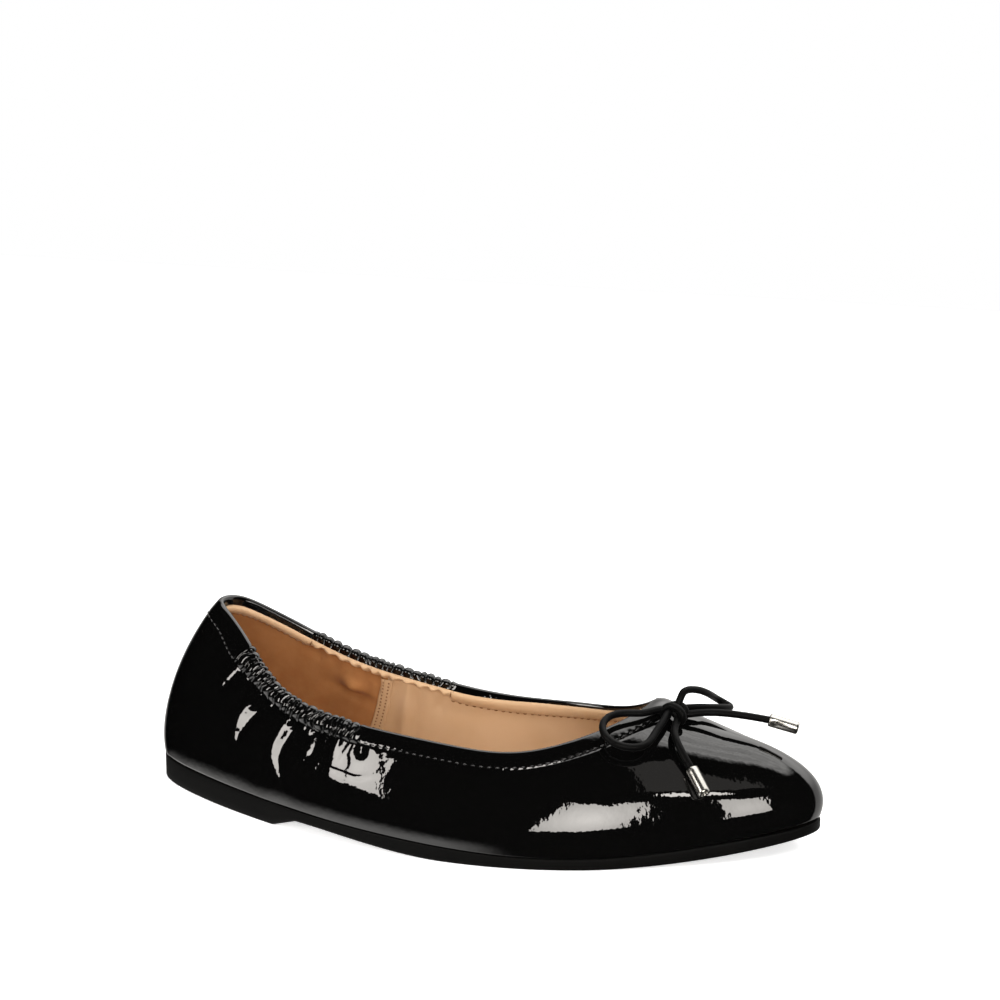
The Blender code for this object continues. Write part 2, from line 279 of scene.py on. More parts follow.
def toplineShare(turn, side):  # share of each section below the topline, all of it ahead of the throat
    throat = last["throat"] * rowLength
    along = np.append(np.array(last["toplineAlong"]) * rowLength, throat)
    height = smoothCurve(along, np.append(np.array(last["topline" + side]) * last["instepHeight"], ridge(throat)[1]))
    low, high = np.zeros(len(turn)), np.ones(len(turn))
    for _ in range(40):  # halves the range until it is exact
        middle = (low + high) / 2
        point = sectionPoints(turn, middle[:, None])[:, 0]
        above = point[:, 2] > height(point[:, 0])[..., 0]
        high = np.where(above, middle, high)
        low = np.where(above, low, middle)
    return np.where(handles(turn)[:, 0] >= throat - 1e-6, 1.0, high)


turnSamples = np.linspace(0, tipRow, 800)
throatTurn = np.interp(last["throat"] * rowLength, handles(turnSamples)[:, 0], turnSamples)


def turnsToThroat(count):  # sections from the heel to the throat, closer together toward the throat
    return throatTurn * (1 - (1 - np.linspace(0, 1, count)) ** toplineLoop["crowding"])


def lastGrid(counts):
    # points of the whole last below the topline, and an index where the ridge ahead of the throat is shared
    backCount, rowCount = counts["back"], counts["rows"]
    lateral = np.concatenate([turnsToThroat(backCount), np.linspace(throatTurn, tipRow, counts["front"])[1:]])
    medial = fullTurn - lateral[-2:0:-1]
    turn = np.concatenate([lateral, medial])
    share = np.concatenate([toplineShare(lateral, "Lateral"), toplineShare(medial, "Medial")])
    points = sectionPoints(turn, share[:, None] * np.linspace(0, 1, rowCount))
    index, normal, count = gridIndex(points), gridNormals(points), len(turn)
    for i in range(backCount - 1, len(lateral) - 1):
        index[count - i, -1] = index[i, -1]
        normal[i, -1] = normal[count - i, -1] = unit(normal[i, -1] + normal[count - i, -1])
    return points, normal, index


def tidyIndex(points, faces):  # drops the points that no face uses
    used, renumbered = np.unique(faces, return_inverse=True)
    return points.reshape(-1, 3)[used], renumbered.reshape(-1, 4)


# The topline as one closed loop: up the lateral side to the throat and back down the medial side. The casing takes the
# place of the skin and the lining as far down as covered says.
toplineLoop = {"samples": 2200, "sections": 700, "crowding": 1.6, "lineEvening": 28,
               "normalEvening": 18, "opening": (105.0, -4.0, 62.0), "covered": 2.8}
lateralTurns = turnsToThroat(toplineLoop["sections"])
medialTurns = fullTurn - lateralTurns[1:-1][::-1]
lateralTop, medialTop = (sectionPoints(turns, toplineShare(turns, side)[:, None])[:, 0]
                         for turns, side in ((lateralTurns, "Lateral"), (medialTurns, "Medial")))
rawLoop = np.vstack([lateralTop, medialTop, lateralTop[:1]])
rawRun = runAlong(rawLoop)
loopLength = rawRun[-1]
lateralLength = rawRun[len(lateralTop) - 1]
loopRun = np.linspace(0, loopLength, toplineLoop["samples"], endpoint=False)
loopPoints = np.column_stack([np.interp(loopRun, rawRun, rawLoop[:, k]) for k in range(3)])
loopPoints = evenOut(loopPoints, toplineLoop["lineEvening"])  # rounds the turn at the throat and the heel
loopTangent = unit(np.roll(loopPoints, -1, 0) - np.roll(loopPoints, 1, 0))
# signed distance along the topline from the heel: lateral side positive, medial side negative
loopArc = np.where(loopRun <= lateralLength, loopRun, loopRun - loopLength)
print("topline %.1f mm round, lateral side %.1f mm" % (loopLength, lateralLength))

# A plain copy of the last's surface to lay things on
plainLast = {"back": 150, "front": 60, "rows": 50}
basePoints, baseNormal, baseIndex = lastGrid(plainLast)
basePlace, surfaceNormals = basePoints.reshape(-1, 3), baseNormal.reshape(-1, 3)
lastSurface = BVHTree.FromPolygons(basePlace.tolist(), gridFaces(baseIndex, closedLong=True).tolist())
surfaceTree = findTree(basePlace)


def smoothNormal(place):  # from the four nearest points of the plain copy
    near = surfaceTree.find_n(place, 4)
    return unit(sum((surfaceNormals[i] / (distance + 0.2) for _, i, distance in near), np.zeros(3)))


def onLast(points, lift=0.0):  # the nearest points of the last, lifted off it, and the normals there
    flat = np.asarray(points, float).reshape(-1, 3)
    found = np.array([lastSurface.find_nearest(p)[0] for p in flat.tolist()])
    normal = np.array([smoothNormal(p) for p in found])
    shape = np.asarray(points).shape
    return (found + normal * np.reshape(lift, (-1, 1))).reshape(shape), normal.reshape(shape)


loopNormal = evenOut(np.array([smoothNormal(p) for p in loopPoints]), toplineLoop["normalEvening"])
loopNormal = unit(loopNormal - loopTangent * (loopNormal * loopTangent).sum(1, keepdims=True))
loopUp = np.cross(loopNormal, loopTangent)  # in the surface, toward the opening
loopUp *= np.sign((loopUp * (np.array(toplineLoop["opening"]) - loopPoints)).sum(1, keepdims=True))
toplineTree = findTree(loopPoints)


def belowTopline(points):  # distance below the topline and the place along it, for each point
    flat = points.reshape(-1, 3)
    found = [toplineTree.find(p) for p in flat.tolist()]
    nearest = np.array([i for _, i, _ in found])
    distance = np.array([d for _, _, d in found])
    arc = loopArc[nearest] + ((flat - loopPoints[nearest]) * loopTangent[nearest]).sum(1)
    return distance.reshape(points.shape[:-1]), arc.reshape(points.shape[:-1])


def belowLoop(distance):  # points laid on the last at distances below the topline, and the normals there
    return onLast(loopPoints[:, None] - loopUp[:, None] * distance[..., None])


# Elastic gathers: ribs of uneven pitch between two places on each side of the topline
gathers = {
    "pitch": 2.6, "uneven": (0.62, 1.42), "heights": (0.62, 1.0), "middle": 0.45, "rampOut": 1.5, "rampIn": 2.5,
    "before": 4, "after": 5, "most": 80,
    "lateral": {"sign": 1, "start": 29.0, "stop": 88.0, "seed": 4},
    "medial": {"sign": -1, "start": 39.0, "stop": 92.0, "seed": 9},
}
gatherSides = (gathers["lateral"], gathers["medial"])
for side in gatherSides:
    rng = np.random.default_rng(side["seed"])
    steps = gathers["pitch"] * rng.uniform(*gathers["uneven"], gathers["most"])
    edges = side["start"] - gathers["before"] + np.cumsum(steps)
    side["edges"] = edges[edges < side["stop"] + gathers["after"]]
    side["heights"] = rng.uniform(*gathers["heights"], len(side["edges"]) + 1)


def gatherShare(arc):  # 1 inside the gathered stretches, 0 outside
    share = np.zeros(np.shape(arc))
    out, into = gathers["rampOut"], gathers["rampIn"]
    for side in gatherSides:
        start, stop = side["start"], side["stop"]
        inside = stretch(side["sign"] * np.asarray(arc), start - out, start + into, stop - into, stop + out)
        share = np.maximum(share, inside)
    return share


def ribs(arc):  # rounded ribs with narrow valleys, 0 to 1
    height = np.zeros(np.shape(arc))
    for side in gatherSides:
        along, edges = side["sign"] * np.asarray(arc), side["edges"]
        i = np.clip(np.searchsorted(edges, along), 1, len(edges) - 1)
        u = np.clip((along - edges[i - 1]) / (edges[i] - edges[i - 1]), 0, 1)
        rib = np.sqrt(1 - (2 * u - 1) ** 2) * side["heights"][i]
        inside = (along > edges[0]) & (along < edges[-1])
        height = np.where(inside, rib, height)
    return height


# Materials: even values, and where the real one has them two tones in soft clouds and a fine relief. Sizes and the
# push of the relief are in millimetres.
finishes = {
    # Patent leather: black dyed leather under a poured, high gloss lacquer. The eye sees deep black, sharp mirror
    # images with slightly broken edges, and a faint orange peel.
    "patent": {
        "name": "black patent leather",
        "values": {"Base Color": linear("#050505"), "Roughness": 0.45, "IOR": 1.50, "Specular IOR Level": 0.0,
                   "Coat Weight": 1.0, "Coat Roughness": 0.02, "Coat IOR": 1.55},
        "relief": {"pattern": "Noise", "size": 2.5, "detail": 2.0, "strength": 1.0, "push": 0.034},
        "sockets": ("Normal", "Coat Normal")},
    # Lining sheepskin: smooth tan leather, in front and under the topline. The eye sees a pale, warm, even tan with
    # soft clouding. Real grain is about 0.3 mm, drawn two or three times as coarse on both linings to show.
    "vampLining": {
        "name": "tan lining sheepskin",
        "values": {"Roughness": 0.55, "IOR": 1.48, "Specular IOR Level": 0.3, "Sheen Weight": 0.05,
                   "Sheen Roughness": 0.5},
        "tones": {"pair": ("#c19f7a", "#cbaa87"), "span": (0.35, 0.65), "size": 24.0, "detail": 3.0},
        "relief": {"pattern": "Voronoi", "size": 0.9, "detail": 0.0, "strength": 0.35, "push": 0.08}},
    # Lining pigskin: napped leather round the heel. The eye sees a brown that is dull and slightly mottled. Its tones
    # are darker than the vamp lining's, partly as its own colour and partly as painted shade for the deep heel.
    "heelLiningShaded": {
        "name": "brown napped pigskin with painted shade",
        "values": {"Roughness": 0.85, "IOR": 1.48, "Specular IOR Level": 0.3, "Sheen Weight": 0.05,
                   "Sheen Roughness": 0.5},
        "tones": {"pair": ("#9e6b3f", "#a97648"), "span": (0.35, 0.65), "size": 7.0, "detail": 3.0},
        "relief": {"pattern": "Voronoi", "size": 0.7, "detail": 0.0, "strength": 0.35, "push": 0.08}},
    # Sole rubber: moulded black rubber with a spark-eroded matt face. The eye sees charcoal with a dull, broad sheen.
    "rubber": {
        "name": "black moulded rubber",
        "values": {"Roughness": 0.55, "IOR": 1.52, "Specular IOR Level": 0.08},
        "tones": {"pair": ("#040404", "#070706"), "span": (0.35, 0.75), "size": 14.0, "detail": 4.0},
        "relief": {"pattern": "Noise", "size": 0.8, "detail": 2.0, "strength": 0.4, "push": 0.06}},
    # Waxed cord: round black cord with a tight waxed surface. The eye sees soft black with a dull satin line.
    "cord": {
        "name": "black waxed cord",
        "values": {"Base Color": linear("#030303"), "Roughness": 0.5, "IOR": 1.48, "Specular IOR Level": 0.09,
                   "Sheen Weight": 0.01, "Sheen Roughness": 0.4},
        "relief": {"pattern": "Noise", "size": 0.7, "detail": 3.0, "strength": 0.35, "push": 0.06}},
    # Nickel plate: drawn brass tube with satin plating. The eye sees a soft satin mirror, very slightly uneven.
    "plate": {
        "name": "satin nickel plate",
        "values": {"Base Color": linear("#aeaca7"), "Metallic": 1.0, "Roughness": 0.27},
        "relief": {"pattern": "Noise", "size": 0.5, "detail": 2.0, "strength": 0.25, "push": 0.02}},
    # Sewing thread: bonded polyester. The eye sees black thread with a bright line where the light runs along it.
    "thread": {
        "name": "black bonded thread",
        "values": {"Base Color": linear("#161616"), "Roughness": 0.24, "IOR": 1.54, "Specular IOR Level": 0.6},
        "relief": {"pattern": "Noise", "size": 0.4, "detail": 1.0, "strength": 0.3, "push": 0.03}},
    # Tan thread: spun polyester, a good deal darker than the lining. The eye sees small brown dashes.
    "tanThread": {
        "name": "tan spun thread",
        "values": {"Roughness": 0.6, "IOR": 1.5},
        "tones": {"pair": ("#6a472a", "#865c39"), "span": (0.0, 1.0), "size": 0.5, "detail": 1.0}},
}
materials = {}
for key, finish in finishes.items():
    materials[key], tree, shader = startMaterial(finish["name"], finish["values"])
    place = addNode(tree, "ShaderNodeTexCoord").outputs["Object"]
    if "tones" in finish:
        tones = finish["tones"]
        cloud = addNode(tree, "ShaderNodeTexNoise", {"Scale": 1000 / tones["size"], "Detail": tones["detail"]},
                        {"Vector": place})
        toneRamp = addNode(tree, "ShaderNodeValToRGB", None, {"Fac": cloud.outputs["Fac"]})
        for element, position, tone in zip(toneRamp.color_ramp.elements, tones["span"], tones["pair"]):
            element.position = position
            element.color = linear(tone)
        tree.links.new(toneRamp.outputs["Color"], shader.inputs["Base Color"])
    if "relief" in finish:
        relief = finish["relief"]
        grain = addNode(tree, "ShaderNodeTex" + relief["pattern"],
                        {"Scale": 1000 / relief["size"], "Detail": relief["detail"]}, {"Vector": place})
        if relief["pattern"] == "Voronoi":
            grain.feature = "SMOOTH_F1"
        bump = addNode(tree, "ShaderNodeBump", {"Strength": relief["strength"], "Distance": 0.001 * relief["push"]},
                       {"Height": grain.outputs[0]})
        for socket in finish.get("sockets", ("Normal",)):
            tree.links.new(bump.outputs["Normal"], shader.inputs[socket])
print("materials made")


# Patent skin: vamp and quarters from the sole edge to the topline casing
skin = {
    "back": 400, "front": 150, "rows": 80, "tuck": 0.35, "tuckRun": (1.3, 0.3), "turnIn": 2.2, "turnDrop": 0.1,
    # the casing's lower edge: its width below the topline, and how much wider it is where the gathers start
    "hem": {"width": 6.7, "extra": 2.3, "place": 26.0, "spread": 11.0},
    # folds under the gathers: a short one under each rib, and longer ones that the pockets take the place of
    "ribFolds": {"fade": 3.2, "height": 0.5, "lean": 0.3},
    "longFolds": {"fade": 7.0, "height": 0.25, "pitch": 7.3, "sway": 0.9, "swayRun": 3.0, "calm": 0.8,
                  "calmed": (38, 46, 66, 74)},
    "uneven": {"height": 0.05, "size": 16.0, "seed": 3, "from": (4, 12)},
    # troughs on the lateral quarter as (along, height) in millimetres, with the trough's width and depth
    "creases": (
        {"line": ((43.0, 48.5), (38.0, 42.0), (33.0, 36.9), (22.7, 30.7)), "width": 0.9, "depth": 0.38},
        {"line": ((47.0, 46.0), (43.0, 43.0), (38.0, 39.5)), "width": 1.0, "depth": 0.16},
        {"line": ((60.5, 40.5), (57.0, 36.0), (51.0, 32.0)), "width": 1.0, "depth": 0.3},
        {"line": ((80.5, 37.0), (80.5, 31.0), (78.5, 25.0)), "width": 1.6, "depth": 0.45},
        {"line": ((97.0, 36.0), (97.0, 32.0), (97.6, 28.0)), "width": 1.9, "depth": 0.5},
        {"line": ((84.0, 25.2), (96.6, 23.4), (106.5, 25.6)), "width": 0.9, "depth": 0.18},
    ),
    "creaseEnds": (-0.25, 0.3, 0.55, 1.0), "lateralSide": -4,
    # pockets between a left and a right edge: a flat bank falls from the left edge at the given slope as far as
    # the deepest share across, and rises again to the right edge. They hang from the gathers, and fade at the top.
    "pockets": (
        {"left": ((67.0, 37.0), (65.4, 33.8), (62.4, 28.2), (61.8, 24.2), (64.4, 19.1), (69.0, 14.0)),
         "right": ((79.5, 37.0), (79.3, 33.1), (78.4, 28.4), (75.8, 23.1), (73.6, 18.5), (70.8, 14.0)),
         "slope": 0.205, "deepest": 0.24, "top": (33.0, 35.5)},
        {"left": ((53.0, 42.0), (50.2, 39.4), (46.0, 34.4), (43.9, 28.4), (44.0, 25.4), (45.8, 23.0)),
         "right": ((62.0, 42.0), (60.0, 39.4), (56.0, 34.4), (50.8, 28.4), (49.3, 25.4), (46.5, 23.0)),
         "slope": 0.262, "deepest": 0.52, "top": (36.2, 39.6)},
    ),
    # share of a pocket's width that rounds its right edge, its fade at the bottom, and how round its deepest line is
    "rightSoft": 0.14, "foot": 1.2, "deepRound": 0.004,
    # the elastic draws the quarter in under the gathers
    "drawIn": {"depth": 1.2, "fade": 9.0, "start": 40.0, "stop": 78.0, "ramp": 10.0},
    # crinkled patches: place, radius, height and spacing of the small folds
    "crinkles": (((75.5, 26.5), 4.2, 0.13, 3.6), ((38.5, 41.5), 3.6, 0.07, 1.5), ((56.5, 35.0), 3.0, 0.08, 1.6),
                 ((95.5, 32.0), 3.5, 0.03, 2.4), ((106.0, 31.0), 3.0, 0.05, 2.4)),
}


def casingWidth(arc):
    hem = skin["hem"]
    return hem["width"] + hem["extra"] * hump(np.abs(arc), hem["place"], hem["spread"])


def drawnIn(arc):  # how far the elastic draws in the edge of the lateral quarter
    pull = skin["drawIn"]
    start, stop, ramp = pull["start"], pull["stop"], pull["ramp"]
    return pull["depth"] * stretch(arc, start - ramp, start + ramp, stop - ramp / 2, stop + ramp / 2)


def polylineDistance(points, line):  # distance of 2D points to a polyline, and the share along it
    line = np.array(line, float)
    run = runAlong(line)
    best = np.full(points.shape[:-1], np.inf)
    share = np.zeros(points.shape[:-1])
    for k in range(len(line) - 1):
        along = line[k + 1] - line[k]
        t = np.clip(((points - line[k]) @ along) / (along @ along), 0, 1)
        gap = np.linalg.norm(points - (line[k] + t[..., None] * along), axis=-1)
        share = np.where(gap < best, (run[k] + t * (run[k + 1] - run[k])) / run[-1], share)
        best = np.minimum(best, gap)
    return best, share


def pocketDepth(x, z, pocket):
    left, right = (np.array(pocket[k])[::-1] for k in ("left", "right"))
    start, bottom = np.interp(z, left[:, 1], left[:, 0]), left[0, 1]
    wide = np.clip(np.interp(z, right[:, 1], right[:, 0]) - start, 0.05, None)
    across, deepest, soft = (x - start) / wide, pocket["deepest"], skin["rightSoft"]
    rise = 1 - across
    rise = np.where(np.abs(rise) < soft, (rise + soft) ** 2 / (4 * soft), np.clip(rise, 0, None))
    fall = np.minimum(across / deepest, rise / (1 - deepest))
    fall = 0.5 * (fall + 1 - np.sqrt((fall - 1) ** 2 + skin["deepRound"]))
    fade = (1 - smoothStep(z, *pocket["top"])) * smoothStep(z, bottom, bottom + skin["foot"])
    depth = pocket["slope"] * deepest * wide * np.clip(fall, 0, None) * fade
    return np.where((across > 0) & (z > bottom), depth, 0)


def lateralDents(points, arc, past):  # the folds and pockets that only the lateral quarter has
    x, z = points[..., 0], points[..., 2]
    dents = -drawnIn(arc) * np.exp(-past / skin["drawIn"]["fade"])
    for crease in skin["creases"]:
        gap, share = polylineDistance(np.stack([x, z], axis=-1), crease["line"])
        dents -= crease["depth"] * hump(gap, 0, crease["width"]) * stretch(share, *skin["creaseEnds"])
    for pocket in skin["pockets"]:
        dents -= pocketDepth(x, z, pocket)
    for (alongPlace, heightPlace), radius, height, spacing in skin["crinkles"]:
        away = np.hypot(x - alongPlace, z - heightPlace)
        dents += height * waves(points, spacing, int(alongPlace)) * hump(away, 0, radius)
    return np.where(points[..., 1] < skin["lateralSide"], dents, 0)


def skinPush(points):  # how far the skin moves along its normal, in millimetres
    below, arc = belowTopline(points)
    gathered, hem = gatherShare(arc), casingWidth(arc)
    past = np.clip(below - hem, 0, None)
    short, long, (tuckAbove, tuckBelow) = skin["ribFolds"], skin["longFolds"], skin["tuckRun"]
    push = -skin["tuck"] * (1 - smoothStep(below, hem - tuckAbove, hem + tuckBelow))
    push += (gathered * np.exp(-past / short["fade"]) * short["height"]
             * (ribs(arc + short["lean"] * past) - gathers["middle"]))
    calm = 1 - long["calm"] * stretch(arc, *long["calmed"])
    push += (gathered * np.exp(-past / long["fade"]) * long["height"] * calm
             * np.sin(arc * 2 * np.pi / long["pitch"] + long["sway"] * np.sin(arc / long["swayRun"])))
    push += lateralDents(points, arc, past)
    return push + unevenness(points, below, skin["uneven"])


points, normal, index = lastGrid(skin)
skinPoints = points + normal * skinPush(points)[..., None]
# an extra row turns the sole edge of the skin in under the last
turnedIn = skinPoints[:, 0] - normal[:, 0] * skin["turnIn"] - np.array([0, 0, skin["turnDrop"]])
wideIndex = np.column_stack([np.arange(len(turnedIn)) + index.size, index])
skinFaces = gridFaces(wideIndex, closedLong=True)
below = np.append(belowTopline(points)[0].reshape(-1), np.full(len(turnedIn), np.inf))
low = below[skinFaces].mean(axis=1) > toplineLoop["covered"]
usedPoints, usedFaces = tidyIndex(np.vstack([skinPoints.reshape(-1, 3), turnedIn]), skinFaces[low])
addPiece("patentSkin", usedPoints, usedFaces, materials["patent"], "upper", ("upper",))
print("patent skin made:", len(usedFaces) * 2, "triangles")

# Stitches along the topline, on the casing and on the facing inside. Each one pulls the leather's edge in.
stitching = {"pitch": 2.45, "start": 0.6, "length": 1.7, "radius": 0.26, "fromHem": 0.8, "proud": 0.08,
             "facingRow": 13, "facingLength": 0.8, "plain": 0.15}
gathered = gatherShare(loopArc)
stitchWave = np.cos(2 * np.pi * (loopRun - stitching["start"]) / stitching["pitch"]) * (1 - gathered)

# Topline casing: the patent leather folded over the elastic, swept along the topline. It is a thick round roll at
# the heel and along the gathers, and gets slimmer toward the throat.
casing = {
    "outer": 18, "rim": 10, "inner": 8, "seat": 0.08, "hemSeat": -0.2, "hemRise": 4.5, "drawnRun": 0.45,
    # the lower edge is turned in more steeply beside the gathers and toward the throat
    "steepRise": 3.0, "steep": ((80, 86, 94, 96), (112, 122, 150, 158)),
    "puff": 0.05, "gatherPuff": 1.1, "throatPuff": 1.4, "rimPuff": 0.35, "puffRun": (0.02, 0.94), "puffPower": 0.7,
    "throatSpread": 11.0, "heelSpread": 13.0,
    "full": {"radius": 1.2, "lean": 40.0, "face": 2.0}, "slim": {"radius": 0.85, "lean": 40.0, "face": 0.9},
    "slimming": (94.0, 126.0), "nearSlim": 0.75, "nearSlimming": (4.0, 24.0),  # the lateral edge is flatter
    "tuckDown": 0.8, "tuckIn": 0.9, "heelPeak": 1.1, "throatPeak": 0.9, "peakRun": 5,
    "pucker": (0.015, 0.05), "puckerRun": (108.0, 124.0), "puckerPlace": 0.9, "puckerSpread": 0.8,
    # ribs of the gathers lean and sway a little, and fade out over some rows at each edge
    "rib": 1.55, "ribLean": 0.22, "ribFrom": 3, "ribSway": 0.35, "ribSwayRun": 3.1, "ribRows": (3.0, 7.0),
    "ribStill": 3,
}
slim = np.maximum(smoothStep(np.abs(loopArc), *casing["slimming"]),
                  casing["nearSlim"] * smoothStep(loopArc, *casing["nearSlimming"]))[:, None]
radius, lean, face = (casing["full"][k] + (casing["slim"][k] - casing["full"][k]) * slim
                      for k in ("radius", "lean", "face"))
lean = np.radians(lean)
hem = casingWidth(loopArc)[:, None]
throatNear = hump(loopRun, lateralLength, casing["throatSpread"])
heelNear = hump(loopArc, 0, casing["heelSpread"])
puff = casing["puff"] + (casing["gatherPuff"] - casing["puff"]) * gathered + casing["throatPuff"] * throatNear
puff = puff[:, None]
steep = sum(stretch(loopArc, *places) for places in casing["steep"])[:, None]
# each row of the sweep has a distance below the topline and a place through the wall
t = np.linspace(0, 1, casing["outer"], endpoint=False)[None, :]
turned = np.linspace(0, 1, casing["rim"])[None, :] * (math.pi - lean)
fold = np.linspace(0, 1, casing["inner"] + 1)[None, 1:] * face
seat = casing["seat"]
puffStart, puffStop = casing["puffRun"]
hemRise = np.clip(t * (casing["hemRise"] + casing["steepRise"] * steep), 0, 1)
outerPlace = (casing["hemSeat"] + (seat - casing["hemSeat"]) * hemRise
              + puff * np.sin(math.pi * (puffStart + (puffStop - puffStart) * t)) ** casing["puffPower"]
              - drawnIn(loopArc)[:, None] * (1 - smoothStep(t, 0, casing["drawnRun"])))
rimPlace = seat - radius + radius * np.cos(turned) + casing["rimPuff"] * puff * np.clip(np.cos(turned), 0, 1)
foldPlace = seat - radius - radius * np.cos(lean) - fold * np.sin(lean)
distance = np.hstack([hem + (radius - hem) * t, radius * (1 - np.sin(turned)),
                      radius * (1 - np.sin(lean)) + fold * np.cos(lean)])
foldDown, foldIn = distance[:, -1:], -foldPlace[:, -1:]
# the last row is tucked under the facing
distance = np.hstack([distance, foldDown + casing["tuckDown"]])
through = np.hstack([outerPlace, rimPlace, foldPlace, casing["tuckIn"] - foldIn])
laid, laidNormal = belowLoop(distance)
casingPoints = laid + laidNormal * through[..., None]
rows = np.arange(distance.shape[1])
pucker = np.where(rows < casing["outer"], hump(hem - distance, casing["puckerPlace"], casing["puckerSpread"]), 0)
puckerDepth = np.interp(smoothStep(loopArc, *casing["puckerRun"]), (0, 1), casing["pucker"])  # deeper at the throat
casingPoints -= laidNormal * ((puckerDepth * stitchWave)[:, None] * pucker)[..., None]
peak = throatNear * casing["throatPeak"] + heelNear * casing["heelPeak"]
lift = peak[:, None] * np.clip(1 - distance / casing["peakRun"], 0, 1)
casingPoints += loopUp[:, None] * lift[..., None]
arc = loopArc[:, None]
ribPlace = (arc + casing["ribLean"] * (distance - casing["ribFrom"])
            + casing["ribSway"] * np.sin(arc / casing["ribSwayRun"] + distance))
outerRows, innerRows = casing["ribRows"]
ribFade = np.clip(rows / outerRows, 0, 1) * np.clip((len(rows) - casing["ribStill"] - rows) / innerRows, 0, 1)
ribPush = casing["rib"] * gathered[:, None] * (ribs(ribPlace) - gathers["middle"]) * ribFade[None, :]
casingPoints += gridNormals(casingPoints) * ribPush[..., None]
addPiece("toplineCasing", casingPoints, gridFaces(gridIndex(casingPoints), closedLong=True), materials["patent"],
         "upper", ("upper",))
print("topline casing made:", distance.size * 2, "triangles")

# Lining: the inner wall of the shoe, napped round the heel and smooth in front of the side seams. It follows the
# pockets of the skin.
lining = {
    "back": 260, "front": 90, "rows": 50, "thinner": 1.0, "thinRun": (3.0, 5.5), "skinGap": 0.8,
    "uneven": {"height": 0.2, "size": 30.0, "seed": 11, "from": (8, 16)},
    "folds": {"height": 0.3, "top": 7, "fade": 5, "pitch": 5.2},
    # soft bulges and hollows of the medial side: along the topline, below it, radii and push into the shoe
    "swells": ((-56.5, 13.5, 4.4, 3.2, 4.2), (-63.0, 10.5, 2.2, 3.6, -2.6), (-56.5, 19.0, 6.0, 2.2, -2.0),
               (-41.0, 9.5, 3.0, 2.5, -1.4), (-80.8, 18.0, 1.8, 13.0, -1.5), (-76.4, 18.0, 3.0, 13.0, 2.0),
               (-88.5, 11.0, 2.0, 4.0, -0.9), (-71.0, 9.5, 1.6, 2.5, -0.6)),
}
seam = {"arc": 67.5, "slant": 0.05, "slantFrom": 8}  # the side seams' place along the topline, and their slant


def liningInward(points):  # how far inside the last's surface the lining lies
    below, arc = belowTopline(points)
    folds = lining["folds"]
    inward = last["wall"] - lining["thinner"] * (1 - smoothStep(below, *lining["thinRun"]))
    inward += unevenness(points, below, lining["uneven"])
    inward += (folds["height"] * gatherShare(arc) * np.exp(-np.clip(below - folds["top"], 0, None) / folds["fade"])
               * np.sin(arc * 2 * np.pi / folds["pitch"]))
    for along, down, wide, high, swell in lining["swells"]:
        inward += swell * hump(arc, along, wide) * hump(below, down, high)
    return np.maximum(inward, lining["skinGap"] - skinPush(points)), below, arc


points, normal, index = lastGrid(lining)
inward, below, arc = liningInward(points)
liningPoints = points - normal * inward[..., None]
liningFaces = gridFaces(index, closedLong=True)[:, ::-1]
fromSeam = np.abs(arc) - seam["arc"] + seam["slant"] * (below - seam["slantFrom"])
fromSeam, below = (values.reshape(-1)[liningFaces].mean(axis=1) for values in (fromSeam, below))
low = below > toplineLoop["covered"]
# the heel lining's darker colour is partly painted shade for the deep heel
for key, chosen in (("heelLiningShaded", low & (fromSeam < 0)), ("vampLining", low & (fromSeam >= 0))):
    usedPoints, usedFaces = tidyIndex(liningPoints, liningFaces[chosen])
    addPiece(key, usedPoints, usedFaces, materials[key], "insole", ("upper",))
print("lining made:", len(liningFaces) * 2, "triangles")

# Facing: the tan strip turned down inside the topline, gathered with the elastic and scalloped by its stitches
facingStrip = {"rows": 16, "width": 6.0, "gatherWidth": 3.6, "overlap": 0.35, "clear": 0.1, "wallGap": 0.15,
               "tuckIn": 0.7, "roll": 1.1, "tucks": 0.45, "tuckPitch": 3.4, "tuckSeed": 17, "edgeWave": 0.24,
               "scallop": 0.5, "wrinklePitch": 4.3, "wrinkleSway": 1.1, "wrinkleRun": 5.0,
               "easeIn": (0.15, 1.0), "tuckRun": (0.0, 0.1), "rollPower": 0.6}
t = np.linspace(0, 1, facingStrip["rows"])[None, :]
width = facingStrip["width"] + (facingStrip["gatherWidth"] - facingStrip["width"]) * gathered
tucks = waves(loopArc[:, None] * np.array([1.0, 0.0, 0.0]), facingStrip["tuckPitch"], facingStrip["tuckSeed"])
width = width + facingStrip["tucks"] * gathered * tucks + facingStrip["edgeWave"] * stitchWave
depth = foldDown - facingStrip["overlap"] + width[:, None] * t
laid, laidNormal = belowLoop(depth)
wrinkle = np.sin(loopArc * 2 * np.pi / facingStrip["wrinklePitch"]
                 + facingStrip["wrinkleSway"] * np.sin(loopArc / facingStrip["wrinkleRun"]))
crown = np.sin(math.pi * t)
toWall = last["wall"] + facingStrip["wallGap"] - foldIn
inside = (foldIn + facingStrip["clear"] + toWall * smoothStep(t, *facingStrip["easeIn"])
          - facingStrip["tuckIn"] * (1 - smoothStep(t, *facingStrip["tuckRun"]))
          + facingStrip["roll"] * crown ** facingStrip["rollPower"]
          + facingStrip["scallop"] * gathered[:, None] * wrinkle[:, None] * crown)
facingPoints = laid - laidNormal * inside[..., None]
addPiece("toplineFacing", facingPoints, gridFaces(gridIndex(facingPoints), closedLong=True), materials["vampLining"],
         "insole", ("upper",))
print("facing made")


# Stitches: short rounded bars laid along lines, joined in one mesh. The arch and sink are shares of their length.
stitchBar = {"sides": 8, "rings": 7, "arch": 0.18, "sink": 0.1, "blunt": 0.02}


